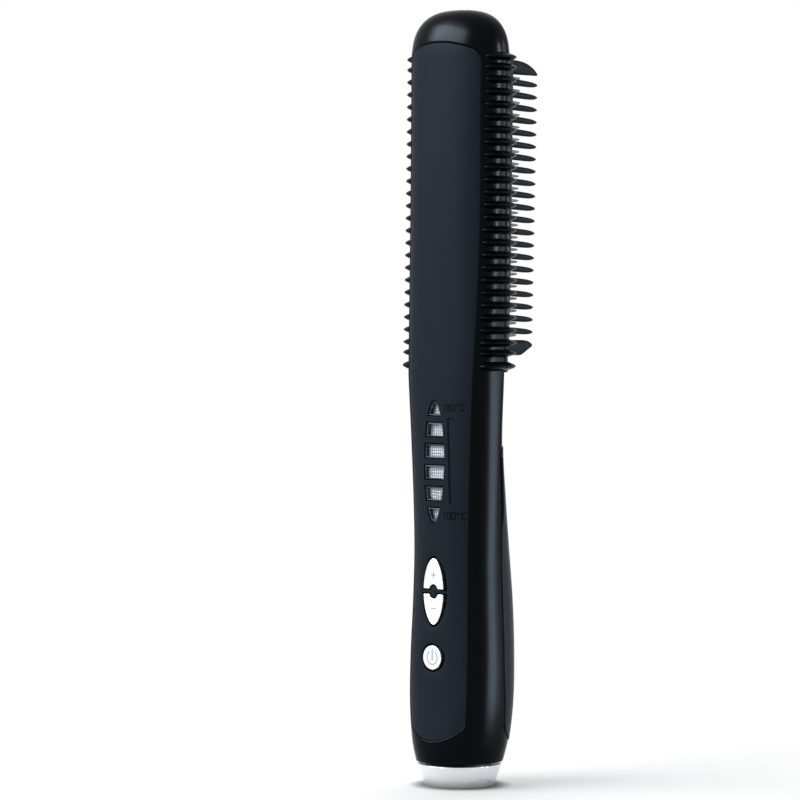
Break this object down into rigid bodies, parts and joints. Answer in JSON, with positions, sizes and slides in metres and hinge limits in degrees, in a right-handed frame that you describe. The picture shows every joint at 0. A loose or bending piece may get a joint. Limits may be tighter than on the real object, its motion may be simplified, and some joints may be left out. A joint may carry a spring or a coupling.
{
  "type": "hair straightening comb",
  "caption": "Long rounded heated comb with ribbed sides, rows of flat teeth along the back of its head, a swelling handle with push buttons and a tapered end cap to stand on.",
  "frame": {"origin": "middle of the footprint, on the surface that the end cap stands on", "axes": "+Z from the end cap to the domed head, -Y the front with the buttons, +Y where the teeth point, +X the right side seen from the front"},
  "size_m": [0.0496, 0.0486, 0.2899],
  "materials": {
    "board": "glass-fibre board with green mask",
    "capacitor": "moulded component body",
    "ceramic": "unglazed ceramic",
    "component": "moulded component body",
    "gland": "matte rubber",
    "gloss_housing": "high gloss black plastic",
    "grip": "satin black plastic",
    "guard": "heat-resistant satin plastic",
    "heated": "coated aluminium, satin",
    "lead": "silicone insulation",
    "led": "moulded clear lens",
    "matte_panel": "fine matte black plastic",
    "mica": "pressed insulating sheet",
    "silver_button": "satin silver coat",
    "silver_cap": "satin silver coat",
    "steel": "plain steel",
    "window": "frosted light-grey plastic"
  },
  "bodies": {
    "body": {"front_shell": "gloss_housing", "front_panel": "matte_panel", "comb_frame": "gloss_housing", "rear_cover": "grip", "end_cap": "silver_cap", "cord_gland": "gland", "cord_clamp": "component", "guard_comb_right": "guard", "guard_comb_left": "guard", "heat_plate": "heated", "heater_strip": "ceramic", "insulation_sheet": "mica", "heater_clamp": "steel", "thermal_fuse": "steel", "temperature_sensor": "ceramic", "display_window_1": "window", "led_1": "led", "display_window_2": "window", "led_2": "led", "display_window_3": "window", "led_3": "led", "display_window_4": "window", "led_4": "led", "display_window_5": "window", "led_5": "led", "display_window_6": "window", "led_6": "led", "light_baffle": "component", "control_board": "board", "switch_power": "component", "switch_temp_up": "component", "switch_temp_down": "component", "power_switch_triac": "component", "mains_capacitor": "capacitor", "microcontroller": "component", "heater_lead_left": "lead", "heater_lead_right": "lead", "board_screw_1": "steel", "board_screw_2": "steel", "board_screw_3": "steel", "board_screw_4": "steel", "cord_clamp_screw_1": "steel", "cord_clamp_screw_2": "steel", "heater_clamp_screw_1": "steel", "heater_clamp_screw_2": "steel", "plate_screw_1": "steel", "plate_screw_2": "steel", "case_screw": "steel", "neck_screw": "steel"},
    "power_button": {"button_power": "silver_button", "plunger_power": "component"},
    "temperature_up_button": {"button_temp_up": "silver_button", "plunger_temp_up": "component"},
    "temperature_down_button": {"button_temp_down": "silver_button", "plunger_temp_down": "component"}
  },
  "joints": [
    {"name": "power_press", "type": "slide", "parent": "body", "child": "power_button", "axis": [0, 1, 0], "range_m": [0, 0.0006], "stiffness_N_per_m": 3000, "springref_m": -0.0003},
    {"name": "temperature_up_press", "type": "slide", "parent": "body", "child": "temperature_up_button", "axis": [0, 1, 0], "range_m": [0, 0.0006], "stiffness_N_per_m": 3000, "springref_m": -0.0003},
    {"name": "temperature_down_press", "type": "slide", "parent": "body", "child": "temperature_down_button", "axis": [0, 1, 0], "range_m": [0, 0.0006], "stiffness_N_per_m": 3000, "springref_m": -0.0003}
  ]
}
